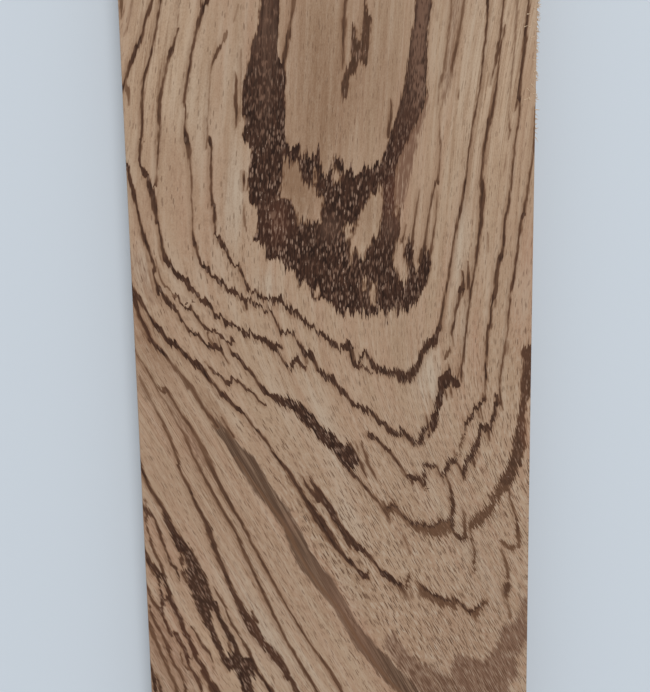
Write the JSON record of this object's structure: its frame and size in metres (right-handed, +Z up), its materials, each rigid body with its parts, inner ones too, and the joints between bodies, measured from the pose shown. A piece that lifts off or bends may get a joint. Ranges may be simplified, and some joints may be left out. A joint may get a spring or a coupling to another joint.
{
  "type": "wooden board",
  "caption": "Plain sawn and planed board of striped hardwood, one solid piece with eased arrises and one rough sawn edge, lying flat.",
  "frame": {"origin": "centre of the underside, the wide face that the board rests on", "axes": "+Z up, out of the figured upper face; +Y along the board and its fibres, towards the top of the picture; +X across the board, towards the rough sawn edge"},
  "size_m": [0.151, 0.45, 0.025],
  "materials": {
    "wood": "planed, unfinished, matt"
  },
  "bodies": {
    "root": {"board": "wood"}
  },
  "joints": []
}
